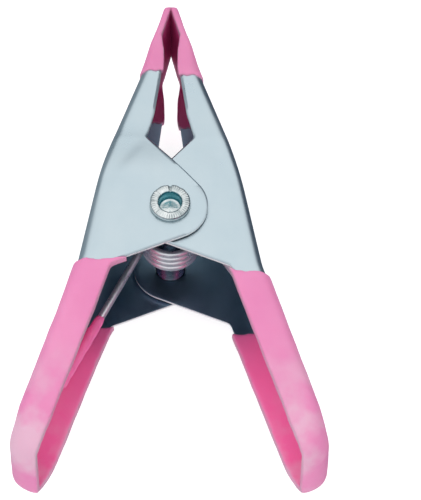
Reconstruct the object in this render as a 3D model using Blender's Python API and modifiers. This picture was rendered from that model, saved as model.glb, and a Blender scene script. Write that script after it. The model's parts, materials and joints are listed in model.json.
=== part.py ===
"""Spring clamp: two stamped steel levers on one rivet, pushed apart by a torsion spring.

The clamp lies on its side. The rivet's axis is vertical, the jaws point along +Y and the
handles along -Y. The origin is on the rivet's axis, on the flat underside of its head.
Lengths below are in millimetres and are turned into metres where a mesh is made.
"""
import math

import bmesh
import bpy
from mathutils import Vector

MM = 0.001

# Steel levers: a U channel whose web runs down the outside and whose cheeks carry the ears.
SHEET = 1.2
BEND_RADIUS = 2.6
LEAST_BEND_RADIUS = 0.6
BEND_STEPS = 3
EAR_RADIUS = 10.8
EAR_HALF_WIDTH_OUTER = 19.5
EAR_HALF_WIDTH_INNER = 17.7

# Web outline of one lever, from the jaw tip down to the handle end: x, y, corner radius.
WEB = (
    (1.75, 72.2, 0.0),
    (4.5, 62.0, 0.0),
    (8.0, 50.0, 25.0),
    (19.7, 15.8, 25.0),
    (26.2, -17.6, 25.0),
    (45.4, -76.6, 5.4),
    (37.7, -76.7, 0.0),
)

# Free edge of the cheeks, from the handle end up to the jaw tip, without the round ear.
HANDLE_EDGE = ((37.3, -74.8, 0.0), (33.9, -67.0, 9.0), (17.5, -18.9, 2.2))
JAW_EDGE = (
    (6.9, 24.4, 1.6),
    (4.7, 33.0, 20.0),
    (3.1, 45.0, 12.0),
    (2.4, 50.5, 12.0),
    (2.5, 56.0, 12.0),
    (3.4, 62.0, 0.0),
    (0.75, 72.2, 0.0),
)

# Half width of the channel at heights along the clamp; the ears add their own in between.
JAW_WIDTHS = ((73.3, 11.9), (71.6, 13.0), (67.3, 13.6), (24.0, 17.0))
EAR_TOP = 17.5
EAR_BOTTOM = -18.0
HANDLE_WIDTHS = (
    (-30.0, 17.0),
    (-62.0, 16.4),
    (-66.5, 15.8),
    (-70.0, 14.9),
    (-72.5, 13.7),
    (-75.0, 12.0),
    (-77.5, 9.3),
)

# Share of the bend's radius that the web keeps; the bends fade towards both ends.
BEND_SHARES = ((59.0, 0.3), (51.0, 1.0), (-73.5, 1.0), (-76.5, 0.45))

# Dipped vinyl: it stands off the steel by the gap, and its face is a coat's depth out.
COAT_GAP = 0.25
GRIP_COAT = 0.95
TIP_COAT = 0.55
OUTER_GRIP_BORDER = ((60.0, -18.0), (26.4, -17.6), (18.5, -18.2), (13.2, -17.3), (0.0, -17.3))
INNER_GRIP_BORDER = ((60.0, -21.0), (18.6, -20.9), (14.7, -17.8), (0.0, -17.8))
OUTER_TIP_BORDER = 48.4
INNER_TIP_BORDER = 46.7

# Rivet
SHANK_RADIUS = 4.3
HOLE_CLEARANCE = 0.3
HEAD_RADIUS = 6.6
HEAD_THICKNESS = 1.3
RIM_RADIUS = 6.0
RIM_THICKNESS = 1.5
TUBE_RADIUS = 3.2
TUBE_DEPTH = 4.0
MOUTH_BEVEL = 0.6
RIM_BEVEL = 0.8
HEAD_BEVEL = 0.4
RIVET_GAP = 0.3
RIVET_SIDES = 32

# Torsion spring
WIRE_RADIUS = 1.08
COIL_RADIUS = 7.4
COIL_PITCH = 2.45
FULL_TURNS = 4
OUTER_LEG_ANGLE = 27.0
INNER_LEG_ANGLE = 33.0
OUTER_LEG_LENGTH = 51.5
INNER_LEG_LENGTH = 33.0
LEG_BEND = 3.0
LEG_SLOPE = 0.3
POINTS_PER_TURN = 16

MIDDLE = EAR_HALF_WIDTH_OUTER + RIVET_GAP + HEAD_THICKNESS
FAR = 60.0
CORE_REACH = 4.0
WELD_DISTANCE = 0.03
ARC_STEP = math.radians(12)
EAR_STEP = math.radians(9)


def clear_scene():
    for thing in list(bpy.data.objects):
        bpy.data.objects.remove(thing, do_unlink=True)


def make_collection(name):
    collection = bpy.data.collections.new(name)
    bpy.context.scene.collection.children.link(collection)
    return collection


def make_material(name, colour, metallic, roughness):
    material = bpy.data.materials.new(name)
    material.use_nodes = True
    shader = material.node_tree.nodes["Principled BSDF"]
    shader.inputs["Base Color"].default_value = (*colour, 1.0)
    shader.inputs["Metallic"].default_value = metallic
    shader.inputs["Roughness"].default_value = roughness
    material.diffuse_color = (*colour, 1.0)
    return material


def make_object(name, mesh, collection, pivot, material=None):
    """Link a mesh as an object under the empty that marks the rivet's axis."""
    thing = bpy.data.objects.new(name, mesh)
    collection.objects.link(thing)
    thing.parent = pivot
    if material:
        mesh.materials.append(material)
    return thing


def mark_as_cutter(thing):
    thing.hide_render = True
    thing.display_type = "WIRE"


def add_boolean(thing, operation, other):
    modifier = thing.modifiers.new(f"{operation.lower()} {other.name}", "BOOLEAN")
    modifier.operation = operation
    modifier.object = other
    modifier.solver = "EXACT"


def add_weld(thing):
    """Close the hair-thin faces that Booleans leave where outlines nearly meet."""
    weld = thing.modifiers.new("weld", "WELD")
    weld.merge_threshold = WELD_DISTANCE * MM


def fillet(before, corner, after, radius):
    """Points of the arc that rounds one corner of an outline."""
    to_before = (before - corner).normalized()
    to_after = (after - corner).normalized()
    half_angle = to_before.angle(to_after) / 2
    if radius == 0 or half_angle > math.radians(89.5):
        return [corner]
    middle = (to_before + to_after).normalized()
    centre = corner + middle * radius / math.sin(half_angle)
    start = corner + to_before * radius / math.tan(half_angle) - centre
    turn = math.pi - 2 * half_angle
    if start.x * middle.y - start.y * middle.x > 0:
        turn = -turn
    count = max(2, math.ceil(abs(turn) / ARC_STEP))
    points = []
    for i in range(count + 1):
        angle = turn * i / count
        cos, sin = math.cos(angle), math.sin(angle)
        spoke = Vector((start.x * cos - start.y * sin, start.x * sin + start.y * cos))
        points.append(centre + spoke)
    return points


def rounded(corners):
    """An open outline from corners of (x, y, radius)."""
    places = [Vector(corner[:2]) for corner in corners]
    points = [places[0]]
    for i in range(1, len(places) - 1):
        points += fillet(places[i - 1], places[i], places[i + 1], corners[i][2])
    return points + [places[-1]]


def normals(points, closed):
    """Mitred left-hand normal at each point of an outline."""
    result = []
    count = len(points)
    for i, point in enumerate(points):
        before = points[i - 1] if closed or i > 0 else None
        after = points[(i + 1) % count] if closed or i < count - 1 else None
        sides = []
        if before is not None:
            sides.append((point - before).normalized())
        if after is not None:
            sides.append((after - point).normalized())
        lefts = [Vector((-side.y, side.x)) for side in sides]
        mean = sum(lefts, Vector((0, 0))) / len(lefts)
        result.append(mean / mean.length_squared)
    return result


def moved(points, distance, closed=False):
    """The outline moved to its left by a distance."""
    return [p + n * distance for p, n in zip(points, normals(points, closed))]


def tangent_angle(point, side):
    """Angle on the ear's circle where the line from a point touches it."""
    reach = math.acos(EAR_RADIUS / point.length)
    return math.atan2(point.y, point.x) + side * reach


def ear_arc():
    """Round end of the ear, between the tangents from the handle and from the jaw."""
    start = tangent_angle(Vector(HANDLE_EDGE[-1][:2]), -1)
    end = tangent_angle(Vector(JAW_EDGE[0][:2]), 1) - 2 * math.pi
    count = math.ceil((start - end) / EAR_STEP)
    corners = []
    for i in range(count + 1):
        angle = start + (end - start) * i / count
        corners.append((EAR_RADIUS * math.cos(angle), EAR_RADIUS * math.sin(angle), 0.0))
    return corners


def between(rows, y):
    """Value at a height, between the rows of a table that runs down the clamp."""
    if y >= rows[0][0]:
        return rows[0][1]
    for (top, top_value), (bottom, bottom_value) in zip(rows, rows[1:]):
        if y >= bottom:
            share = (top - y) / (top - bottom)
            return top_value + (bottom_value - top_value) * share
    return rows[-1][1]


def half_width(y, ear):
    """Half width of a channel whose ears have their own half width."""
    return between((*JAW_WIDTHS, (EAR_TOP, ear), (EAR_BOTTOM, ear), *HANDLE_WIDTHS), y)


def web_path():
    """Web outline with both ends drawn out, so that a core runs past the sheet's ends."""
    points = rounded(WEB)
    first = points[0] + (points[0] - points[1]).normalized() * CORE_REACH
    last = points[-1] + (points[-1] - points[-2]).normalized() * CORE_REACH
    return [first, *points[1:-1], last]


def blank_outline(grow):
    """Side view of a lever, web and cheeks together, grown all round."""
    edge = rounded([*HANDLE_EDGE, *ear_arc(), *JAW_EDGE])
    return moved(rounded(WEB) + edge, grow, closed=True)


def core_outline(grow):
    """Side view of the room inside the channel, open past the cheeks' free edge."""
    wall = moved(web_path(), -(SHEET + grow))
    return [*wall, Vector((-FAR, wall[-1].y)), Vector((-FAR, wall[0].y))]


def extruded(outline, half_height):
    """Upright prism on an outline, as an open bmesh."""
    bm = bmesh.new()
    bottom = [bm.verts.new((p.x, p.y, -half_height)) for p in outline]
    face = bm.faces.new(bottom)
    grown = bmesh.ops.extrude_face_region(bm, geom=[face])["geom"]
    top = [part for part in grown if isinstance(part, bmesh.types.BMVert)]
    bmesh.ops.translate(bm, verts=top, vec=(0, 0, 2 * half_height))
    bmesh.ops.recalc_face_normals(bm, faces=bm.faces)
    return bm


def finished(bm, name, side):
    """Mesh in metres from a bmesh in millimetres, on one side of the clamp."""
    for vert in bm.verts:
        vert.co.x *= side
    bmesh.ops.scale(bm, verts=bm.verts, vec=(MM, MM, MM))
    bmesh.ops.recalc_face_normals(bm, faces=bm.faces)
    if bm.calc_volume(signed=True) < 0:
        bmesh.ops.reverse_faces(bm, faces=bm.faces)
    mesh = bpy.data.meshes.new(name)
    bm.to_mesh(mesh)
    bm.free()
    return mesh


def ringed(outline, bend):
    """Upright solid on a side view, whose web turns into the cheeks with a round bend."""
    web = web_path()
    shares = [between(BEND_SHARES, p.y) for p in web]
    ways = [-bend * share * n for share, n in zip(shares, normals(web, False))]
    angles = [math.pi / 2 * i / BEND_STEPS for i in range(BEND_STEPS + 1)]
    levels = [(-1, angle) for angle in reversed(angles)] + [(1, angle) for angle in angles]
    bm = bmesh.new()
    rings = []
    for sign, angle in levels:
        height = sign * (FAR - bend + bend * math.sin(angle))
        places = [p + way * (1 - math.cos(angle)) for p, way in zip(outline, ways)]
        places += outline[len(ways):]
        rings.append([bm.verts.new((p.x, p.y, height)) for p in places])
    for below, above in zip(rings, rings[1:]):
        for i in range(len(outline)):
            bm.faces.new((below[i - 1], below[i], above[i], above[i - 1]))
    bm.faces.new(rings[0])
    bm.faces.new(rings[-1])
    return bm


def prism(name, outline, side, ear, grow, bend):
    """Side view made solid, with a width that changes along the clamp."""
    bm = ringed(outline, bend)
    for row in (*JAW_WIDTHS, (EAR_TOP,), (EAR_BOTTOM,), *HANDLE_WIDTHS):
        parts = [*bm.verts, *bm.edges, *bm.faces]
        bmesh.ops.bisect_plane(bm, geom=parts, plane_co=(0, row[0], 0), plane_no=(0, 1, 0))
    for vert in bm.verts:
        height = abs(vert.co.z) - FAR + half_width(vert.co.y, ear) + grow
        vert.co.z = math.copysign(height, vert.co.z)
    bmesh.ops.triangulate(bm, faces=bm.faces)
    return finished(bm, name, side)


def channel(name, side, ear, grow, collections, pivot, material=None):
    """Bent sheet of a lever, grown all round; a skin of vinyl or a cutter if it is grown."""
    parts, cutters = collections
    within = -SHEET - grow
    bend = max(BEND_RADIUS + within, LEAST_BEND_RADIUS)
    blank = prism(name, blank_outline(grow), side, ear, grow, BEND_RADIUS + grow)
    core = prism(f"{name} core", core_outline(grow), side, ear, within, bend)
    thing = make_object(name, blank, parts if material else cutters, pivot, material)
    cutter = make_object(f"{name} core", core, cutters, pivot)
    mark_as_cutter(cutter)
    add_boolean(thing, "DIFFERENCE", cutter)
    if not material:
        mark_as_cutter(thing)
    return thing


def flat_cutter(name, outline, side, cutters, pivot):
    """Plain extruded outline, taller than the clamp, that keeps or takes away a region."""
    bm = extruded([Vector(p) for p in outline], FAR)
    thing = make_object(name, finished(bm, name, side), cutters, pivot)
    mark_as_cutter(thing)
    return thing


def build_lever(name, side, ear, collections, pivot, hole, material):
    lever = channel(name, side, ear, 0.0, collections, pivot, material)
    add_boolean(lever, "DIFFERENCE", hole)
    add_weld(lever)
    return lever


def build_coat(name, side, ear, depth, border, collections, pivot, material):
    """Vinyl skin over the part of a lever that lies within a border outline."""
    coat = channel(name, side, ear, depth, collections, pivot, material)
    room = channel(f"{name} room", side, ear, COAT_GAP, collections, pivot)
    keep = flat_cutter(f"{name} border", border, side, collections[1], pivot)
    add_boolean(coat, "INTERSECT", keep)
    add_boolean(coat, "DIFFERENCE", room)
    add_weld(coat)
    return coat


def grip_border(top):
    """Closed region of a handle grip under its upper border."""
    return [*top, (0.0, -2 * FAR), (FAR, -2 * FAR)]


def tip_border(bottom):
    """Closed region of a jaw tip above its lower border."""
    return [(-FAR, bottom), (FAR, bottom), (FAR, 2 * FAR), (-FAR, 2 * FAR)]


def turned(name, profile, parts, pivot, material, steps):
    """Solid of revolution about the rivet's axis, from a profile of (radius, height)."""
    mesh = bpy.data.meshes.new(name)
    verts = [(radius * MM, 0.0, height * MM) for radius, height in profile]
    mesh.from_pydata(verts, [(i, i + 1) for i in range(len(verts) - 1)], [])
    thing = make_object(name, mesh, parts, pivot, material)
    screw = thing.modifiers.new("turn", "SCREW")
    screw.axis = "Z"
    screw.steps = steps
    screw.render_steps = steps
    screw.use_merge_vertices = True
    screw.merge_threshold = 0.00001
    screw.use_smooth_shade = True
    return thing


def build_rivet(parts, pivot, material):
    """Semi-tubular rivet: flat head below, clinched rim with a blind hole above."""
    floor = EAR_HALF_WIDTH_OUTER + RIVET_GAP
    top = floor + RIM_THICKNESS
    low = -floor - HEAD_THICKNESS
    profile = (
        (0.0, top - TUBE_DEPTH),
        (TUBE_RADIUS, top - TUBE_DEPTH),
        (TUBE_RADIUS, top - MOUTH_BEVEL),
        (TUBE_RADIUS + MOUTH_BEVEL, top),
        (RIM_RADIUS - RIM_BEVEL, top),
        (RIM_RADIUS, top - RIM_BEVEL),
        (RIM_RADIUS, floor),
        (SHANK_RADIUS, floor),
        (SHANK_RADIUS, -floor),
        (HEAD_RADIUS, -floor),
        (HEAD_RADIUS, low + HEAD_BEVEL),
        (HEAD_RADIUS - HEAD_BEVEL, low),
        (0.0, low),
    )
    return turned("pivot_rivet", profile, parts, pivot, material, RIVET_SIDES)


def rivet_hole(cutters, pivot):
    mesh = bpy.data.meshes.new("rivet hole")
    bm = bmesh.new()
    radius = (SHANK_RADIUS + HOLE_CLEARANCE) * MM
    bmesh.ops.create_cone(
        bm, cap_ends=True, segments=32, radius1=radius, radius2=radius, depth=FAR * MM
    )
    bm.to_mesh(mesh)
    bm.free()
    thing = make_object("rivet hole", mesh, cutters, pivot)
    mark_as_cutter(thing)
    return thing


def spring_points():
    """Wire from the inner lever's leg, round the coil, to the outer lever's leg."""
    start = math.radians(INNER_LEG_ANGLE)
    sweep = math.radians(180 - OUTER_LEG_ANGLE - INNER_LEG_ANGLE + 360 * FULL_TURNS)
    rise = COIL_PITCH * sweep / (2 * math.pi)
    count = round(sweep / (2 * math.pi) * POINTS_PER_TURN)
    coil = []
    for i in range(count + 1):
        angle = start + sweep * i / count
        height = rise / 2 - rise * i / count
        coil.append((COIL_RADIUS * math.cos(angle), COIL_RADIUS * math.sin(angle), height))
    first, last = Vector(coil[0]), Vector(coil[-1])
    slope = COIL_RADIUS * sweep
    end = start + sweep
    inner_way = Vector((math.sin(start), -math.cos(start), LEG_SLOPE * rise / slope))
    outer_way = Vector((-math.sin(end), math.cos(end), -LEG_SLOPE * rise / slope))
    inner_leg = [first + inner_way * INNER_LEG_LENGTH, first + inner_way * LEG_BEND]
    outer_leg = [last + outer_way * LEG_BEND, last + outer_way * OUTER_LEG_LENGTH]
    return [*inner_leg, *coil, *outer_leg]


def build_spring(parts, pivot, material):
    curve = bpy.data.curves.new("torsion_spring", "CURVE")
    curve.dimensions = "3D"
    curve.bevel_depth = WIRE_RADIUS * MM
    curve.bevel_resolution = 2
    curve.use_fill_caps = True
    points = spring_points()
    spline = curve.splines.new("POLY")
    spline.points.add(len(points) - 1)
    for control, place in zip(spline.points, points):
        control.co = (place[0] * MM, place[1] * MM, place[2] * MM, 1.0)
    curve.materials.append(material)
    thing = bpy.data.objects.new("torsion_spring", curve)
    parts.objects.link(thing)
    thing.parent = pivot
    return thing


def add_pivot(name, collection):
    empty = bpy.data.objects.new(name, None)
    empty.location = (0, 0, MIDDLE * MM)
    collection.objects.link(empty)
    return empty


def build():
    clear_scene()
    parts = make_collection("spring_clamp")
    cutters = make_collection("cutters")
    both = (parts, cutters)
    outer_pivot = add_pivot("outer lever pivot", parts)
    inner_pivot = add_pivot("inner lever pivot", parts)
    bpy.context.view_layer.update()

    outer_steel = make_material("outer lever zinc", (0.55, 0.63, 0.68), 1.0, 0.32)
    inner_steel = make_material("inner lever zinc", (0.52, 0.61, 0.67), 1.0, 0.30)
    rivet_steel = make_material("rivet zinc", (0.62, 0.66, 0.66), 1.0, 0.28)
    spring_steel = make_material("spring steel", (0.36, 0.38, 0.42), 1.0, 0.25)
    outer_vinyl = make_material("outer grip vinyl", (0.82, 0.22, 0.45), 0.0, 0.38)
    inner_vinyl = make_material("inner grip vinyl", (0.83, 0.23, 0.46), 0.0, 0.38)
    outer_tip = make_material("outer tip vinyl", (0.81, 0.21, 0.44), 0.0, 0.38)
    inner_tip = make_material("inner tip vinyl", (0.80, 0.22, 0.45), 0.0, 0.38)

    outer, inner = EAR_HALF_WIDTH_OUTER, EAR_HALF_WIDTH_INNER
    hole = rivet_hole(cutters, outer_pivot)
    build_lever("outer_lever", -1, outer, both, outer_pivot, hole, outer_steel)
    build_lever("inner_lever", 1, inner, both, inner_pivot, hole, inner_steel)
    outer_top = grip_border(OUTER_GRIP_BORDER)
    inner_top = grip_border(INNER_GRIP_BORDER)
    outer_low = tip_border(OUTER_TIP_BORDER)
    inner_low = tip_border(INNER_TIP_BORDER)
    coats = (
        ("outer_handle_grip", -1, outer, GRIP_COAT, outer_top, outer_pivot, outer_vinyl),
        ("inner_handle_grip", 1, inner, GRIP_COAT, inner_top, inner_pivot, inner_vinyl),
        ("outer_jaw_tip", -1, outer, TIP_COAT, outer_low, outer_pivot, outer_tip),
        ("inner_jaw_tip", 1, inner, TIP_COAT, inner_low, inner_pivot, inner_tip),
    )
    for name, side, ear, depth, border, pivot, material in coats:
        build_coat(name, side, ear, depth, border, both, pivot, material)
    build_rivet(parts, outer_pivot, rivet_steel)
    build_spring(parts, outer_pivot, spring_steel)


build()
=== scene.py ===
"""Looks of the spring clamp: bent sheet steel levers, dipped vinyl, clinched rivet, spring."""
import json
import math

import bmesh
import bpy
import numpy as np
from mathutils import Matrix, Vector, noise
from mathutils.bvhtree import BVHTree


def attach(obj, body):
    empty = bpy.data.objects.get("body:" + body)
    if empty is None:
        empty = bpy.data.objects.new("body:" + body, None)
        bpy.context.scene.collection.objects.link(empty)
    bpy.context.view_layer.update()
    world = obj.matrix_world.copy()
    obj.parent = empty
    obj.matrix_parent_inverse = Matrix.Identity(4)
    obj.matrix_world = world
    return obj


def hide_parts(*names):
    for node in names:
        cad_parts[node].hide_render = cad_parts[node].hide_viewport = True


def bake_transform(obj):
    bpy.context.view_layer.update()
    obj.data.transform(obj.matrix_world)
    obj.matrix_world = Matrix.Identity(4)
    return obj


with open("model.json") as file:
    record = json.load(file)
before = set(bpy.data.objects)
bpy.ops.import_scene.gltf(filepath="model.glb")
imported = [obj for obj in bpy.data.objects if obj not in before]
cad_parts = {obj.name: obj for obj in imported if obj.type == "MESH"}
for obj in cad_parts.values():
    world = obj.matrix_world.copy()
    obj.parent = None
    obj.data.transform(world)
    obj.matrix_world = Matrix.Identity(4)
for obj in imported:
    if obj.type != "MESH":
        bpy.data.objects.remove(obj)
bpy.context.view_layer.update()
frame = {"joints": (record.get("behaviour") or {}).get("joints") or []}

MM = 0.001
MIDDLE = frame["joints"][0]["pos_m"][2]

# Steel levers, in millimetres, seen from above with the rivet's axis at the origin.
SHEET = 1.2
BEND_RADIUS = 2.6
EAR_RADIUS = 10.8
OUTER_EAR = 19.5
INNER_EAR = 17.7
CHANNEL = 17.0
WEB = (
    (1.75, 72.2, 0.0),
    (4.5, 62.0, 0.0),
    (8.0, 50.0, 25.0),
    (19.7, 15.8, 150.0),
    (26.2, -17.6, 25.0),
    (45.4, -76.6, 5.4),
    (37.7, -76.7, 0.0),
)
HANDLE_EDGE = ((37.3, -74.8, 0.0), (33.9, -67.0, 9.0), (17.5, -18.9, 2.2))
JAW_EDGE = (
    (6.9, 24.4, 1.6),
    (4.7, 33.0, 20.0),
    (3.1, 45.0, 12.0),
    (2.4, 50.5, 12.0),
    (2.5, 56.0, 12.0),
    (3.4, 62.0, 0.0),
    (0.75, 72.2, 0.0),
)

# Places on the web and on the free edge that lie across from each other, and rows between.
WEB_KNOTS = ((1.75, 72.2), (4.5, 62.0), (16.3, 25.5), (25.8, -16.2), (41.4, -64.4), (37.7, -76.7))
EDGE_KNOTS = ((0.75, 72.2), (3.4, 62.0), (6.9, 24.4), (17.5, -18.9), (33.9, -67.0), (37.3, -74.8))
ROWS = (18, 34, 64, 48, 26)
WEB_COLUMNS = 9
BEND_COLUMNS = 6
CHEEK_COLUMNS = 16

# The sheet's free edges are rolled over by the punch, on the outer side.
ROLL_WIDTH = 0.75
ROLL_DROP = 0.45

# Half width of the channel, and the share of its bend radius, at heights along the clamp.
WIDTH_Y = (-77.5, -75.0, -72.5, -70.0, -66.5, -62.0, -30.0, 24.0, 67.3, 71.6, 73.3)
WIDTH = (9.3, 12.0, 13.7, 14.9, 15.8, 16.4, CHANNEL, CHANNEL, 13.6, 13.0, 11.9)
SHARE_Y = (-76.5, -75.0, -73.0, -62.0, 51.0, 59.0)
SHARE = (1.5, 2.2, 2.4, 1.0, 1.0, 0.3)

# The ear stands out of the cheek between these heights, and within two creases. Each crease
# has a point on it and the way from it to the ear.
EAR_TOP = 29.0
EAR_BOTTOM = -34.0
EAR_RISE = 18.0
JAW_CREASE = ((6.9, 24.4), (-0.851, -0.524))
WEB_CREASE = ((17.2, 8.0), (-0.969, -0.244))
CREASE_WIDTH = 4.4
OUTER_DROP = 0.6
INNER_DROP = 0.4

# Bends never take more than this share of a cheek, and stay this round on the inside.
BEND_LIMIT = 0.75
LEAST_INNER_BEND = 0.3
BEVEL = 0.24
LEVER_TOP = 58.0

# Dipped vinyl: coat depths, how far the tips lean together, borders as (x, y) at the front and
# at the rear, and the marks that tell a skin's outside, inside and rim apart.
GRIP_COAT = 0.95
TIP_COAT = 0.55
TIP_LEAN = 0.30
TIP_LEAN_FROM = 57.0
TIP_LEAN_LENGTH = 9.0
OUTER_GRIP_BORDER = ((0.0, -17.3), (13.2, -17.3), (18.5, -18.2), (26.4, -17.6), (60.0, -18.0))
OUTER_GRIP_REAR = ((0.0, -19.5), (60.0, -19.5))
INNER_GRIP_BORDER = ((0.0, -17.8), (14.7, -17.8), (18.6, -20.9), (60.0, -21.0))
INNER_GRIP_REAR = ((0.0, -22.6), (60.0, -22.6))
OUTER_TIP_BORDER = ((0.0, 48.4), (40.0, 48.4))
INNER_TIP_BORDER = ((0.0, 46.7), (40.0, 46.7))
GRIP_VOXEL = 0.42
TIP_VOXEL = 0.3
GRIP_ROWS = 90
TIP_ROWS = 46
RELAX_STEPS = 14
SKIN_MARKS = (0.0, 1.0, 0.35)

# Rivet
SHANK_RADIUS = 4.3
HOLE_RADIUS = 4.6
HEAD_RADIUS = 6.6
HEAD_THICKNESS = 1.3
RIM_THICKNESS = 1.5
TUBE_DEPTH = 4.0
RIVET_FLOOR = 19.8
RIVET_STEPS = 180
RIM_TICKS = 46

# Splits in the clinched rim: place round it and half width in degrees, then depth.
RIM_SPLITS = (
    (90, 7.0, 0.85),
    (61, 1.8, 0.25),
    (33, 2.6, 0.45),
    (-8, 2.2, 0.3),
    (-52, 3.0, 0.5),
    (-97, 2.2, 0.3),
    (-139, 3.2, 0.5),
    (176, 2.4, 0.35),
    (137, 2.8, 0.45),
)

# Spring
WIRE_RADIUS = 1.08
COIL_RADIUS = 7.4
COIL_PITCH = 2.45
TURNS = 4
OUTER_LEG_ANGLE = 27.0
INNER_LEG_ANGLE = 33.0
OUTER_LEG_LENGTH = 51.5
INNER_LEG_LENGTH = 33.0
LEG_START = 0.8
LEG_SLOPE = 0.3
SLEEVE_START = 29.0
SLEEVE_END = 54.5

# Camera: lean from overhead, turn and roll in degrees, lens in millimetres.
CAMERA_ANGLES = (30.58, -0.42, -0.29)
CAMERA_LENS = 248.4
CAMERA_SHIFT = (0.0804, -0.0218)


def smooth(share):
    """Ease a share from 0 to 1, level at both ends."""
    share = np.clip(share, 0.0, 1.0)
    return share * share * (3 - 2 * share)


# Outlines


def fillet(before, corner, after, radius):
    """Points of the arc that rounds one corner of an outline."""
    to_before = (before - corner).normalized()
    to_after = (after - corner).normalized()
    half_angle = to_before.angle(to_after) / 2
    if radius == 0 or half_angle > math.radians(89.5):
        return [corner]
    middle = (to_before + to_after).normalized()
    centre = corner + middle * radius / math.sin(half_angle)
    start = corner + to_before * radius / math.tan(half_angle) - centre
    turn = math.pi - 2 * half_angle
    if start.x * middle.y - start.y * middle.x > 0:
        turn = -turn
    points = []
    for i in range(13):
        cos, sin = math.cos(turn * i / 12), math.sin(turn * i / 12)
        spoke = Vector((start.x * cos - start.y * sin, start.x * sin + start.y * cos))
        points.append(centre + spoke)
    return points


def rounded(corners):
    """Outline through the corners, each one turned to an arc of its own radius."""
    places = [Vector(corner[:2]) for corner in corners]
    points = [places[0]]
    for i in range(1, len(places) - 1):
        points += fillet(places[i - 1], places[i], places[i + 1], corners[i][2])
    return points + [places[-1]]


def tangent_angle(point, side):
    """Angle on the ear at which a straight edge from the point meets it."""
    reach = math.acos(EAR_RADIUS / point.length)
    return math.atan2(point.y, point.x) + side * reach


def ear_arc():
    """Round edge of the ear, from the handle's edge to the jaw's."""
    start = tangent_angle(Vector(HANDLE_EDGE[-1][:2]), -1)
    end = tangent_angle(Vector(JAW_EDGE[0][:2]), 1) - 2 * math.pi
    angles = np.linspace(start, end, 41)
    return [(EAR_RADIUS * math.cos(a), EAR_RADIUS * math.sin(a), 0.0) for a in angles]


def stations(outline, knots, counts):
    """Points along an outline, with a set number of them from each knot to the next."""
    points = np.array(outline, float)
    lengths = np.hypot(*np.diff(points, axis=0).T)
    along = np.concatenate([[0.0], np.cumsum(lengths)])
    fine = np.linspace(0, along[-1], int(along[-1] * 20))
    line = np.stack([np.interp(fine, along, points[:, k]) for k in range(2)], 1)
    marks = [int(np.argmin(np.hypot(*(line - knot).T))) for knot in knots]
    rows = [np.linspace(a, b, n, endpoint=False) for a, b, n in zip(marks, marks[1:], counts)]
    rows = np.concatenate([*rows, [marks[-1]]])
    index = np.arange(len(line))
    return np.stack([np.interp(rows, index, line[:, k]) for k in range(2)], 1)


def unit(vectors):
    """Vectors of length 1 in the same directions."""
    return vectors / np.linalg.norm(vectors, axis=-1, keepdims=True)


def grown(web, edge, distance):
    """Web and free edge moved outwards together, as one closed outline."""
    loop = np.concatenate([web, edge[::-1]])
    after = unit(np.roll(loop, -1, 0) - loop)
    before = np.roll(after, 1, 0)
    mean = (after + before) / 2
    normal = np.stack([-mean[:, 1], mean[:, 0]], 1)
    normal /= np.maximum((normal**2).sum(1, keepdims=True), 0.35)
    loop = loop + normal * distance
    return loop[: len(web)], loop[len(web) :][::-1]


# Bent sheets


def past_crease(x, y, crease):
    """How far places lie beyond a crease, towards the ear."""
    (start_x, start_y), (way_x, way_y) = crease
    return (x - start_x) * way_x + (y - start_y) * way_y


def half_width(places, ear):
    """Half width of the channel at places on it; the ear stands out within soft creases."""
    x, y = places[..., 0], places[..., 1]
    rise = smooth((EAR_TOP - y) / EAR_RISE) * smooth((y - EAR_BOTTOM) / EAR_RISE)
    beyond = np.minimum(past_crease(x, y, JAW_CREASE), past_crease(x, y, WEB_CREASE))
    ear_face = smooth(beyond / CREASE_WIDTH + 0.5)
    drop = OUTER_DROP if ear == OUTER_EAR else INNER_DROP
    return np.interp(y, WIDTH_Y, WIDTH) + (ear - CHANNEL) * rise - drop * rise * (1 - ear_face)


def rails(grow):
    """For each row: web point, ways inwards and across the cheek, bend radius, whole depth."""
    web = stations(rounded(WEB), WEB_KNOTS, ROWS)
    free = rounded([*HANDLE_EDGE, *ear_arc(), *JAW_EDGE])[::-1]
    edge = stations(free, EDGE_KNOTS, ROWS)
    web, edge = grown(web, edge, grow)
    heading = unit(np.gradient(web, axis=0))
    inward = np.stack([heading[:, 1], -heading[:, 0]], 1)
    bend = (BEND_RADIUS + grow) * np.interp(web[:, 1], SHARE_Y, SHARE)
    bend = np.minimum(bend, BEND_LIMIT * np.linalg.norm(edge - web, axis=1))
    corner = web + inward * bend[:, None]
    reach = np.linalg.norm(edge - corner, axis=1)
    across = (edge - corner) / reach[:, None]
    return web, inward, across, bend, bend + reach


def one_skin(rail, wall, radius, ear, swell, rolled):
    """One face of the sheet at a depth in the wall: rows down the lever, columns round it."""
    web, inward, across, bend, whole = rail

    def place(depth):
        near = np.minimum(depth, bend)[:, None]
        far = np.maximum(depth - bend, 0.0)[:, None]
        return web + inward * near + across * far

    def column(depth, drop, share=1.0, lift=0.0):
        xy = place(depth)
        height = (half_width(xy, ear) + swell - drop) * share + lift
        return np.column_stack([xy, height])

    columns = [column(wall, radius, j / WEB_COLUMNS) for j in range(WEB_COLUMNS)]
    for k in range(BEND_COLUMNS + 1):
        angle = math.pi / 2 * k / BEND_COLUMNS
        depth = wall + radius * (1 - math.cos(angle))
        columns.append(column(depth, radius, lift=radius * math.sin(angle)))
    cheek = whole - wall - radius
    for m in range(1, CHEEK_COLUMNS + 1):
        columns.append(column(wall + radius + cheek * m / CHEEK_COLUMNS, 0.0))
    if rolled:
        columns[-2] = column(whole - np.minimum(ROLL_WIDTH, 0.5 * cheek), 0.0)
        columns[-1] = column(whole, ROLL_DROP)
    columns = np.stack(columns, 1)
    mirrored = columns[:, :0:-1] * (1, 1, -1)
    return np.concatenate([mirrored, columns], 1)


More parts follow.
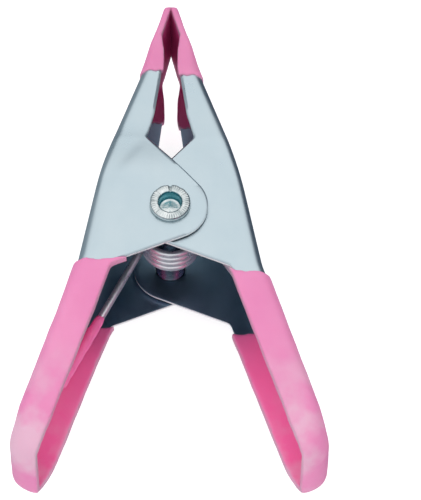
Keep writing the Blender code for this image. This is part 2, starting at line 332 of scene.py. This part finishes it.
def skins(grow, thickness, ear):
    """Outer and inner faces of a sheet that is grown all round the lever's outside."""
    rail = rails(grow)
    bend, whole = rail[3:]
    wall = np.minimum(thickness, 0.98 * whole)
    inner_bend = np.maximum(bend - thickness, LEAST_INNER_BEND)
    inner_bend = np.minimum(inner_bend, 0.9 * (whole - wall))
    outer = one_skin(rail, 0.0 * bend, bend, ear, grow, grow == 0)
    return outer, one_skin(rail, wall, inner_bend, ear, grow - thickness, False)


def kept_rows(skin, first, last, count):
    """Rows of a skin between two fractional rows that are given for each column."""
    rows = np.linspace(0, 1, count + 1)[:, None]
    at = first[None, :] + (last - first)[None, :] * rows
    low = np.minimum(np.floor(at).astype(int), len(skin) - 2)
    part = (at - low)[..., None]
    column = np.arange(skin.shape[1])[None, :]
    return skin[low, column] * (1 - part) + skin[low + 1, column] * part


def border_row(skin, borders, from_end):
    """Fractional row where each column crosses the front or the rear border of (x, y) points."""
    result = []
    for j in range(skin.shape[1]):
        x, y, z = skin[:, j].T
        front, rear = (np.interp(x, *zip(*border)) for border in borders)
        in_front = smooth(z / CHANNEL + 0.5)
        wave = 0.22 * math.sin(j * 0.55 + 1.3) + 0.12 * math.sin(j * 1.27)
        above = y - front * in_front - rear * (1 - in_front) - wave
        rows = range(len(skin) - 1, 0, -1) if from_end else range(len(skin) - 1)
        step = -1 if from_end else 1
        for i in rows:
            if above[i] * above[i + step] <= 0 and above[i] != above[i + step]:
                result.append(i + step * above[i] / (above[i] - above[i + step]))
                break
    return np.array(result)


def closed_sheet(outer, inner):
    """Closed mesh in millimetres between two skins; face layer 0 outer, 1 inner, 2 cut edge."""
    bm = bmesh.new()
    a = [[bm.verts.new(p) for p in row] for row in outer]
    b = [[bm.verts.new(p) for p in row] for row in inner]
    rows, columns = len(a), len(a[0])

    def face(corners, kind):
        made = bm.faces.new(corners)
        made.material_index = kind
        made.smooth = True

    for i in range(rows - 1):
        for j in range(columns - 1):
            face((a[i][j], a[i][j + 1], a[i + 1][j + 1], a[i + 1][j]), 0)
            face((b[i][j], b[i + 1][j], b[i + 1][j + 1], b[i][j + 1]), 1)
        for j in (0, columns - 1):
            face((a[i][j], b[i][j], b[i + 1][j], a[i + 1][j]), 2)
    for i in (0, rows - 1):
        for j in range(columns - 1):
            face((a[i][j], b[i][j], b[i][j + 1], a[i][j + 1]), 2)
    bmesh.ops.recalc_face_normals(bm, faces=bm.faces)
    return bm


def to_object(bm, name, materials):
    """Object in the row frame from a bmesh in millimetres about the middle plane."""
    bmesh.ops.scale(bm, verts=bm.verts, vec=(MM, MM, MM))
    bmesh.ops.translate(bm, verts=bm.verts, vec=(0, 0, MIDDLE))
    mesh = bpy.data.meshes.new(name)
    bm.to_mesh(mesh)
    bm.free()
    for material in materials:
        mesh.materials.append(material)
    thing = bpy.data.objects.new(name, mesh)
    bpy.context.scene.collection.objects.link(thing)
    return thing


def applied(thing):
    """Bake an object's modifiers into its mesh."""
    bpy.context.view_layer.update()
    graph = bpy.context.evaluated_depsgraph_get()
    mesh = bpy.data.meshes.new_from_object(thing.evaluated_get(graph))
    mesh.name = thing.name
    thing.modifiers.clear()
    thing.data = mesh
    return thing


def mirror(bm, side):
    """Turn the right-hand shape into the left-hand one when side is negative."""
    if side < 0:
        for vert in bm.verts:
            vert.co.x *= -1
        bmesh.ops.reverse_faces(bm, faces=bm.faces)
    return bm


def hole_cutter():
    """Cylinder that cuts the rivet's hole in the ears."""
    bm = bmesh.new()
    size = {"segments": 72, "radius1": HOLE_RADIUS, "radius2": HOLE_RADIUS, "depth": 60}
    bmesh.ops.create_cone(bm, cap_ends=True, **size)
    return to_object(bm, "hole_cutter", [])


def build_lever(name, side, ear, materials, cutter):
    """Bare sheet of one lever, from under its handle grip to under its jaw tip."""
    outer, inner = skins(0.0, SHEET, ear)
    start = int(np.argmax(outer[:, outer.shape[1] // 2, 1] < LEVER_TOP))
    bm = mirror(closed_sheet(outer[start:], inner[start:]), side)
    thing = to_object(bm, name, materials)
    hole = thing.modifiers.new("hole", "BOOLEAN")
    hole.operation = "DIFFERENCE"
    hole.solver = "EXACT"
    hole.object = cutter
    bevel = thing.modifiers.new("edges", "BEVEL")
    bevel.width = BEVEL * MM
    bevel.segments = 3
    bevel.limit_method = "ANGLE"
    bevel.angle_limit = math.radians(40)
    return applied(thing)


def tube(points, radii, sides):
    """Closed tube along points, as a bmesh."""
    bm = bmesh.new()
    points = [Vector(p) for p in points]
    across = None
    rings = []
    for i, point in enumerate(points):
        ahead = points[min(i + 1, len(points) - 1)] - points[max(i - 1, 0)]
        ahead.normalize()
        if across is None:
            across = ahead.orthogonal().normalized()
        across = (across - ahead * across.dot(ahead)).normalized()
        other = ahead.cross(across)
        ring = []
        for k in range(sides):
            angle = 2 * math.pi * k / sides
            spoke = across * math.cos(angle) + other * math.sin(angle)
            ring.append(bm.verts.new(point + spoke * radii[i]))
        rings.append(ring)
    for low, high in zip(rings, rings[1:]):
        for k in range(sides):
            bm.faces.new((low[k - 1], low[k], high[k], high[k - 1])).smooth = True
    bm.faces.new(rings[0][::-1])
    bm.faces.new(rings[-1])
    bmesh.ops.recalc_face_normals(bm, faces=bm.faces)
    return bm


def build_coat(name, side, ear, borders, at_handle, material, extra=None):
    """Dipped vinyl with soft round edges, thicker and wavier than the steel inside it."""
    depth = GRIP_COAT if at_handle else TIP_COAT
    outer, inner = skins(depth, SHEET + 2 * depth, ear)
    rows = border_row(outer, borders, at_handle)
    end = np.full_like(rows, len(outer) - 1.0)
    first, last = (rows, end) if at_handle else (0.0 * rows, rows)
    count = GRIP_ROWS if at_handle else TIP_ROWS
    kept = [kept_rows(skin, first, last, count) for skin in (outer, inner)]
    bm = mirror(closed_sheet(*kept), side)
    sides = BVHTree.FromBMesh(bm)
    bm.faces.ensure_lookup_table()
    kinds = [face.material_index for face in bm.faces]
    if extra:
        mesh = bpy.data.meshes.new("extra")
        extra.to_mesh(mesh)
        bm.from_mesh(mesh)
        bpy.data.meshes.remove(mesh)
    thing = to_object(bm, name, [material])
    remesh = thing.modifiers.new("remesh", "REMESH")
    remesh.mode = "VOXEL"
    remesh.voxel_size = (GRIP_VOXEL if at_handle else TIP_VOXEL) * MM
    remesh.use_smooth_shade = True
    relax = thing.modifiers.new("relax", "SMOOTH")
    relax.factor = 0.5
    relax.iterations = RELAX_STEPS
    applied(thing)
    mark_inside(thing, sides, kinds)
    return thing


def averaged(mesh, value):
    """A value at each point of a mesh, blended with its neighbours' three times."""
    edges = np.zeros(len(mesh.edges) * 2, int)
    mesh.edges.foreach_get("vertices", edges)
    edges = edges.reshape(-1, 2)
    near = np.bincount(edges.ravel(), minlength=len(value)) + 1
    for _ in range(3):
        total = value.copy()
        np.add.at(total, edges[:, 0], value[edges[:, 1]])
        np.add.at(total, edges[:, 1], value[edges[:, 0]])
        value = total / near
    return value


def mark_inside(thing, sides, kinds):
    """Write which side of the skin each point is on, ripple it and close the jaw tips.

    The attribute is 0 outside the channel, 1 inside it and 0.35 at a rim.
    """
    mesh = thing.data
    count = len(mesh.vertices)
    places, normals = np.zeros(count * 3), np.zeros(count * 3)
    mesh.vertices.foreach_get("co", places)
    mesh.vertices.foreach_get("normal", normals)
    places, normals = places.reshape(-1, 3), normals.reshape(-1, 3)
    value, sway = np.zeros(count), np.zeros(count)
    for i, point in enumerate(places):
        place = Vector(point / MM) - Vector((0, 0, MIDDLE / MM))
        value[i] = SKIN_MARKS[kinds[sides.find_nearest(place)[2]]]
        sway[i] = noise.noise(place * 0.16) * 0.10 + noise.noise(place * 0.5) * 0.03
    places = places + normals * sway[:, None] * MM
    closing = TIP_LEAN * smooth((places[:, 1] / MM - TIP_LEAN_FROM) / TIP_LEAN_LENGTH) * MM
    places[:, 0] -= np.sign(places[:, 0]) * closing
    mesh.vertices.foreach_set("co", places.ravel())
    value = averaged(mesh, value)
    attribute = mesh.attributes.new("inside", "FLOAT", "POINT")
    attribute.data.foreach_set("value", value.astype(np.float32))
    mesh.update()


# Rivet and spring


def rivet_profile():
    """Section of the rivet as (radius, height), from the blind hole's floor to the flat head."""
    top = RIVET_FLOOR + RIM_THICKNESS
    floor = top - TUBE_DEPTH
    low = -RIVET_FLOOR - HEAD_THICKNESS
    hole = [(0.01, floor), (0.7, floor), (1.5, floor), (2.2, floor), (2.9, floor + 0.05)]
    hole += [(3.15, floor + 0.3), (3.2, top - 2.5), (3.2, top - 1.2), (3.26, top - 0.6)]
    rim = [(3.45, top - 0.25), (3.75, top - 0.06), (4.2, top), (4.8, top), (5.3, top - 0.05)]
    rim += [(5.65, top - 0.22), (5.9, top - 0.6), (5.92, top - 1.1), (5.8, RIVET_FLOOR)]
    shank = [(SHANK_RADIUS, RIVET_FLOOR), (SHANK_RADIUS, -RIVET_FLOOR)]
    head = [(6.3, -RIVET_FLOOR), (6.55, -RIVET_FLOOR - 0.2), (HEAD_RADIUS, low + 0.75)]
    head += [(6.45, low + 0.3), (6.1, low + 0.02), (5.6, low), (3.0, low), (0.01, low)]
    return hole + rim + shank + head


def split_depth(angle):
    """Depth of the split in the clinched rim at an angle round it."""
    depth = 0.0
    for place, width, deep in RIM_SPLITS:
        away = abs((math.degrees(angle) - place + 180) % 360 - 180)
        depth = max(depth, deep * (1 - smooth(away / width)))
    return depth


def worn(radius, height, angle, depth, flutter):
    """A point of the rivet's section, with the rim's wear and the mark on the hole's floor."""
    rim = smooth((radius - 3.15) / 0.7) * (height > RIVET_FLOOR)
    radius -= rim * 0.1 * (1 + flutter) * (radius > 5)
    tick = 0.10 * max(0.0, math.sin(RIM_TICKS * angle)) ** 3
    height -= rim * (depth + 0.06 * flutter + tick)
    cross = min(abs(math.cos(angle)), abs(math.sin(angle))) * radius
    on_floor = 0 < height < RIVET_FLOOR - 1 and radius < 1.6
    height += 0.12 * (on_floor and cross < 0.1)
    return radius, max(height, RIVET_FLOOR) if rim else height


def build_rivet(material):
    """Rivet turned about its axis; the clinched rim has split a little all round."""
    profile = rivet_profile()
    bm = bmesh.new()
    rings = []
    for i in range(RIVET_STEPS):
        angle = 2 * math.pi * i / RIVET_STEPS
        depth = split_depth(angle)
        cos, sin = math.cos(angle), math.sin(angle)
        flutter = noise.noise(Vector((cos * 4, sin * 4, 2.0)))
        points = [worn(radius, height, angle, depth, flutter) for radius, height in profile]
        rings.append([bm.verts.new((radius * cos, radius * sin, z)) for radius, z in points])
    for i in range(RIVET_STEPS):
        for j in range(len(profile) - 1):
            corners = (rings[i - 1][j], rings[i][j], rings[i][j + 1], rings[i - 1][j + 1])
            bm.faces.new(corners).smooth = True
    bm.faces.new([ring[0] for ring in rings])
    bm.faces.new([ring[-1] for ring in rings])
    bmesh.ops.recalc_face_normals(bm, faces=bm.faces)
    return to_object(bm, "rivet", [material])


def spring_line():
    """Middle line of the wire: inner leg, coil and outer leg, with their directions."""
    start = math.radians(INNER_LEG_ANGLE)
    sweep = math.radians(180 - OUTER_LEG_ANGLE - INNER_LEG_ANGLE + 360 * TURNS)
    rise = COIL_PITCH * sweep / (2 * math.pi)
    count = round(sweep / (2 * math.pi) * 48)
    coil = []
    for i in range(count + 1):
        angle = start + sweep * i / count
        height = rise / 2 - rise * i / count
        x, y = COIL_RADIUS * math.cos(angle), COIL_RADIUS * math.sin(angle)
        coil.append(Vector((x, y, height)))
    slope = COIL_RADIUS * sweep
    end = start + sweep
    inner_way = Vector((math.sin(start), -math.cos(start), LEG_SLOPE * rise / slope))
    outer_way = Vector((-math.sin(end), math.cos(end), -LEG_SLOPE * rise / slope))
    return coil, inner_way, outer_way


def build_spring(material):
    """Coil and two straight legs as one tube, with closed ends."""
    coil, inner_way, outer_way = spring_line()
    inner = [coil[0] + inner_way * d for d in np.linspace(INNER_LEG_LENGTH, LEG_START, 30)]
    outer = [coil[-1] + outer_way * d for d in np.linspace(LEG_START, OUTER_LEG_LENGTH, 40)]
    points = [*inner, *coil, *outer]
    radii = [WIRE_RADIUS] * len(points)
    radii[0] = radii[-1] = WIRE_RADIUS * 0.86
    spring = to_object(tube(points, radii, 20), "spring", [material])
    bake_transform(spring)
    return spring


def leg_sleeve():
    """Vinyl that has run along the spring's leg where it is embedded in the grip."""
    coil, _, way = spring_line()
    points = [coil[-1] + way * d for d in np.linspace(SLEEVE_START, SLEEVE_END, 40)]
    radii = [min(1.62, 1.2 + 0.1 * i) + 0.08 * math.sin(i * 0.9) for i in range(40)]
    return tube(points, radii, 20)


# Materials


class Nodes:
    """Short way to wire one material's shader nodes."""

    def __init__(self, name):
        self.material = bpy.data.materials.new(name)
        self.material.use_nodes = True
        self.tree = self.material.node_tree
        self.shader = self.tree.nodes["Principled BSDF"]
        self.place = self.add("ShaderNodeTexCoord").outputs["Object"]

    def add(self, kind, links=(), **values):
        node = self.tree.nodes.new(kind)
        for name, value in values.items():
            setattr(node, name, value)
        for name, value in dict(links).items():
            self.put(node.inputs[name], value)
        return node

    def put(self, socket, value):
        if isinstance(value, bpy.types.NodeSocket):
            self.tree.links.new(value, socket)
        else:
            socket.default_value = value

    def noise(self, scale, detail=3.0, stretch=None):
        place = self.place
        if stretch:
            links = {"Vector": place, "Scale": stretch}
            place = self.add("ShaderNodeMapping", links).outputs["Vector"]
        links = {"Vector": place, "Scale": scale, "Detail": detail}
        return self.add("ShaderNodeTexNoise", links).outputs["Fac"]

    def ramp(self, value, low, high, to_low=0.0, to_high=1.0):
        links = {"Value": value, "From Min": low, "From Max": high}
        links.update({"To Min": to_low, "To Max": to_high})
        return self.add("ShaderNodeMapRange", links).outputs["Result"]

    def mix(self, share, first, second):
        node = self.tree.nodes.new("ShaderNodeMix")
        node.data_type = "RGBA"
        self.put(node.inputs["Factor"], share)
        self.put(node.inputs["A"], first)
        self.put(node.inputs["B"], second)
        return node.outputs["Result"]

    def maths(self, kind, first, second):
        node = self.tree.nodes.new("ShaderNodeMath")
        node.operation = kind
        self.put(node.inputs[0], first)
        self.put(node.inputs[1], second)
        return node.outputs["Value"]

    def bump(self, height, strength, distance):
        links = {"Height": height, "Strength": strength, "Distance": distance}
        self.put(self.shader.inputs["Normal"], self.add("ShaderNodeBump", links).outputs["Normal"])

    def colour(self, value):
        self.put(self.shader.inputs["Base Color"], value)


def colour(red, green, blue):
    """Opaque colour from three linear values."""
    return (red, green, blue, 1.0)


def steel(name, light, dark, roughness):
    """Zinc-plated sheet: cloudy plating, faint rolling marks and a fine grain."""
    make = Nodes(name)
    cloud = make.ramp(make.noise(90, 4), 0.3, 0.7)
    marks = make.noise(260, 2, (1.0, 0.08, 1.0))
    shade = make.maths("ADD", make.maths("MULTIPLY", cloud, 0.7), make.ramp(marks, 0, 1, 0, 0.3))
    make.colour(make.mix(shade, dark, light))
    grain = make.noise(900, 2)
    rough = make.ramp(cloud, 0, 1, roughness - 0.04, roughness + 0.07)
    make.put(make.shader.inputs["Roughness"], rough)
    make.shader.inputs["Metallic"].default_value = 1.0
    make.bump(make.maths("ADD", grain, make.maths("MULTIPLY", marks, 0.6)), 0.10, 0.0002)
    return make.material


def cut_edge():
    """Cut edge of the sheet: painted highlight where it faces the handles, painted shade where it
    faces the jaws.
    """
    make = Nodes("zinc_cut_edge")
    facing = make.add("ShaderNodeTexCoord").outputs["Normal"]
    towards_jaws = make.add("ShaderNodeSeparateXYZ", {"Vector": facing}).outputs["Y"]
    # Edges that face the jaws get painted shade, edges that face the handles a painted highlight,
    # each with a fine grain.
    painted_shade_share = make.ramp(towards_jaws, -0.35, 0.2)
    grain = make.ramp(make.noise(500, 3), 0.3, 0.7)
    painted_highlight = make.mix(grain, colour(0.78, 0.82, 0.84), colour(0.92, 0.94, 0.95))
    painted_shade = make.mix(grain, colour(0.05, 0.07, 0.10), colour(0.12, 0.15, 0.19))
    make.colour(make.mix(painted_shade_share, painted_highlight, painted_shade))
    make.shader.inputs["Roughness"].default_value = 0.38
    make.shader.inputs["Metallic"].default_value = 0.3
    make.bump(grain, 0.15, 0.0002)
    return make.material


def vinyl(name, light, deep):
    """Dipped vinyl: soft sheen, slow ripples, painted shade in a deeper tone inside, a painted
    grey reflection along the rims and scuffed ends.
    """
    make = Nodes(name)
    inside = make.add("ShaderNodeAttribute", attribute_name="inside").outputs["Fac"]
    deeper = [c * f for c, f in zip(light, (0.95, 0.84, 0.92, 1.0))]
    body = make.mix(make.ramp(make.noise(60, 3), 0.3, 0.7), light, deeper)
    # Inside the channel the vinyl takes painted shade: the second colour, a deeper and darker
    # pink.
    body = make.mix(inside, body, deep)
    split = make.add("ShaderNodeSeparateXYZ", {"Vector": make.place})
    low = make.ramp(split.outputs["Y"], -0.040, -0.066)
    scuff = make.maths("MULTIPLY", low, make.ramp(make.noise(75, 5), 0.44, 0.64, 0.0, 0.55))
    body = make.mix(scuff, body, colour(0.72, 0.58, 0.65))
    # Painted grey reflection along the vinyl's rims, in patches.
    rim = make.maths("MULTIPLY", make.ramp(inside, 0.08, 0.3), make.ramp(inside, 0.85, 0.5))
    rim = make.maths("MULTIPLY", rim, make.ramp(make.noise(110, 3), 0.3, 0.7, 0.25, 0.8))
    body = make.mix(rim, body, colour(0.50, 0.36, 0.44))
    make.colour(body)
    make.put(make.shader.inputs["Roughness"], make.ramp(make.noise(150, 3), 0.3, 0.7, 0.34, 0.48))
    make.shader.inputs["Subsurface Weight"].default_value = 0.12
    make.shader.inputs["Subsurface Radius"].default_value = (0.002, 0.0006, 0.001)
    make.bump(make.noise(170, 4), 0.18, 0.0006)
    return make.material


def spring_wire():
    """Bright drawn wire."""
    make = Nodes("spring_wire")
    drawn = make.noise(700, 2)
    make.colour(make.mix(drawn, colour(0.66, 0.68, 0.72), colour(0.88, 0.90, 0.94)))
    make.put(make.shader.inputs["Roughness"], make.ramp(drawn, 0.3, 0.7, 0.26, 0.40))
    make.shader.inputs["Metallic"].default_value = 0.8
    make.bump(drawn, 0.04, 0.0001)
    return make.material


def rivet_metal():
    """Bright zinc, with painted shade on the shank, painted shade in teal on the blind hole's wall
    and painted shade in the grooves between the fine ticks on the rim.
    """
    make = Nodes("rivet_zinc")
    split = make.add("ShaderNodeSeparateXYZ", {"Vector": make.place})
    x, y, z = (split.outputs[axis] for axis in "XYZ")
    flat = make.add("ShaderNodeCombineXYZ", {"X": x, "Y": y}).outputs["Vector"]
    radius = make.add("ShaderNodeVectorMath", {0: flat}, operation="LENGTH").outputs["Value"]

    def beyond(value, low, high, base=0.0):
        return make.ramp(value, base + low * MM, base + high * MM)

    def both(first, second):
        return make.maths("MULTIPLY", first, second)

    speck = make.ramp(make.noise(420, 4), 0.35, 0.65)
    body = make.mix(speck, colour(0.50, 0.56, 0.57), colour(0.78, 0.82, 0.82))

    past_hole = beyond(radius, 3.3, 3.6)
    # Painted shade on the shank, which stands between the ears.
    shank = both(beyond(z, 19.5, 18.9, MIDDLE), beyond(z, 1.4, 1.8))
    body = make.mix(both(shank, past_hole), body, colour(0.16, 0.20, 0.26))

    # Painted shade in the grooves between the rim's ticks, in patches.
    wave = make.maths("SINE", both(make.maths("ARCTAN2", y, x), float(RIM_TICKS)), 0.0)
    ring = both(beyond(radius, 4.1, 4.7), beyond(radius, 5.7, 5.3))
    ring = both(ring, make.ramp(make.noise(300, 3), 0.35, 0.6, 0.1, 0.85))
    body = make.mix(both(ring, make.ramp(wave, 0.2, 0.9)), body, colour(0.12, 0.16, 0.18))

    # Painted shade, in teal, on the wall of the blind hole.
    wall = make.maths("SUBTRACT", beyond(radius, 2.9, 3.1), past_hole)
    hole_shade = both(wall, beyond(z, 14.9, 15.3, MIDDLE))
    make.colour(make.mix(hole_shade, body, colour(0.10, 0.36, 0.42)))
    make.put(make.shader.inputs["Roughness"], make.ramp(speck, 0, 1, 0.34, 0.20))
    make.shader.inputs["Metallic"].default_value = 1.0
    make.bump(make.noise(600, 4), 0.35, 0.0003)
    return make.material


# Scene


def build_camera():
    """Camera that looks down on the clamp from the handles' side, a metre away."""
    lean, turn, roll = (math.radians(angle) for angle in CAMERA_ANGLES)
    flat = math.sin(lean)
    down = Vector((math.sin(turn) * flat, math.cos(turn) * flat, -math.cos(lean)))
    right = down.cross(Vector((0, 0, 1))).normalized()
    up = right.cross(down)
    level = right * math.cos(roll) + up * math.sin(roll)
    upright = up * math.cos(roll) - right * math.sin(roll)
    camera = bpy.data.objects.new("camera", bpy.data.cameras.new("camera"))
    bpy.context.scene.collection.objects.link(camera)
    turned = Matrix((level, upright, -down)).transposed().to_4x4()
    turned.translation = Vector((0, 0, MIDDLE)) - down
    camera.matrix_world = turned
    camera.data.sensor_fit = "AUTO"
    camera.data.sensor_width = 36.0
    camera.data.lens = CAMERA_LENS
    camera.data.shift_x, camera.data.shift_y = CAMERA_SHIFT
    camera.data.clip_start = 0.01
    bpy.context.scene.camera = camera


def build_floor():
    """Pale floor just under the clamp."""
    bm = bmesh.new()
    bmesh.ops.create_grid(bm, x_segments=2, y_segments=2, size=1500)
    make = Nodes("floor")
    make.colour(colour(0.5, 0.5, 0.5))
    make.shader.inputs["Roughness"].default_value = 0.9
    make.shader.inputs["Emission Color"].default_value = colour(1, 1, 1)
    make.shader.inputs["Emission Strength"].default_value = 0.8
    floor = to_object(bm, "floor", [make.material])
    for vert in floor.data.vertices:
        vert.co.z = -0.5 * MM
    floor.visible_glossy = False


def add_area(name, place, size, power, aim=(0, 0, 0.02)):
    """Square area light that is turned to its aim."""
    light = bpy.data.lights.new(name, "AREA")
    light.size = size
    light.energy = power
    lamp = bpy.data.objects.new(name, light)
    lamp.location = place
    lamp.visible_glossy = False
    way = Vector(aim) - Vector(place)
    lamp.rotation_euler = way.to_track_quat("-Z", "Y").to_euler()
    bpy.context.scene.collection.objects.link(lamp)


def sky_ramp(tree, value, low, high, kind="LINEAR"):
    """Share that goes from 0 to 1 as the value goes from low to high."""
    node = tree.nodes.new("ShaderNodeMapRange")
    node.interpolation_type = kind
    node.inputs["From Min"].default_value = low
    node.inputs["From Max"].default_value = high
    tree.links.new(value, node.inputs["Value"])
    return node.outputs["Result"]


def sky_mix(tree, share):
    """Mix of two colours by a share."""
    node = tree.nodes.new("ShaderNodeMix")
    node.data_type = "RGBA"
    tree.links.new(share, node.inputs["Factor"])
    return node


def build_light():
    """Bright overhead, darker towards the horizon, so that bent steel shows dark lines."""
    world = bpy.data.worlds.new("studio")
    world.use_nodes = True
    tree = world.node_tree
    place = tree.nodes.new("ShaderNodeTexCoord")
    split = tree.nodes.new("ShaderNodeSeparateXYZ")
    tree.links.new(place.outputs["Generated"], split.inputs["Vector"])
    low = sky_mix(tree, sky_ramp(tree, split.outputs["X"], -0.8, 0.4))
    low.inputs["A"].default_value = colour(0.30, 0.34, 0.37)
    low.inputs["B"].default_value = colour(0.075, 0.095, 0.125)
    sky = sky_mix(tree, sky_ramp(tree, split.outputs["Z"], 0.22, 0.62, "SMOOTHSTEP"))
    tree.links.new(low.outputs["Result"], sky.inputs["A"])
    sky.inputs["B"].default_value = colour(1.0, 1.0, 1.0)
    tree.links.new(sky.outputs["Result"], tree.nodes["Background"].inputs["Color"])
    tree.nodes["Background"].inputs["Strength"].default_value = 1.12
    bpy.context.scene.world = world
    add_area("key", (-0.45, 0.35, 1.1), 0.7, 2.5)
    add_area("front", (0.1, -1.0, 0.35), 0.6, 1.6)
    bpy.context.scene.view_settings.view_transform = "Standard"


def build_levers():
    """The two steel levers, each in place of its CAD node."""
    zinc = steel("zinc_outside", colour(0.56, 0.655, 0.70), colour(0.48, 0.585, 0.64), 0.30)
    # The inner faces take a darker, bluer copy of the zinc: painted shade inside the channel.
    shade = steel("zinc_inside_painted_shade", colour(0.31, 0.46, 0.58), colour(0.20, 0.32, 0.42), 0.34)
    metals = [zinc, shade, cut_edge()]
    cutter = hole_cutter()
    for name, side, ear in (("outer", -1, OUTER_EAR), ("inner", 1, INNER_EAR)):
        lever = build_lever(f"{name}_lever_sheet", side, ear, metals, cutter)
        stand_for(lever, f"{name}_lever")
    bpy.data.objects.remove(cutter, do_unlink=True)


def build_coats():
    """The two grips and two jaw tips, each in place of its CAD node."""
    # The second colour of each vinyl is painted shade for the inside of the channel.
    grip = vinyl("grip_vinyl", colour(0.78, 0.26, 0.48), colour(0.86, 0.17, 0.42))
    tip = vinyl("tip_vinyl", colour(0.72, 0.24, 0.44), colour(0.58, 0.065, 0.25))
    grips = (
        ("outer", -1, OUTER_EAR, (OUTER_GRIP_BORDER, OUTER_GRIP_REAR), leg_sleeve()),
        ("inner", 1, INNER_EAR, (INNER_GRIP_BORDER, INNER_GRIP_REAR), None),
    )
    for name, side, ear, borders, extra in grips:
        coat = build_coat(f"{name}_handle_vinyl", side, ear, borders, True, grip, extra)
        stand_for(coat, f"{name}_handle_grip")
    tips = (("outer", -1, OUTER_EAR, OUTER_TIP_BORDER), ("inner", 1, INNER_EAR, INNER_TIP_BORDER))
    for name, side, ear, border in tips:
        coat = build_coat(f"{name}_tip_vinyl", side, ear, (border, border), False, tip)
        stand_for(coat, f"{name}_jaw_tip")


def stand_for(piece, node):
    """Let a rigid piece move with its lever's side and stand for its CAD node."""
    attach(piece, "inner_side" if node.startswith("inner") else "outer_side")
    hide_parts(node)


def build():
    """Every visible piece of the clamp."""
    build_levers()
    build_coats()
    stand_for(build_rivet(rivet_metal()), "pivot_rivet")
    spring = build_spring(spring_wire())
    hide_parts("torsion_spring")
    build_floor()
    build_light()
    build_camera()


build()
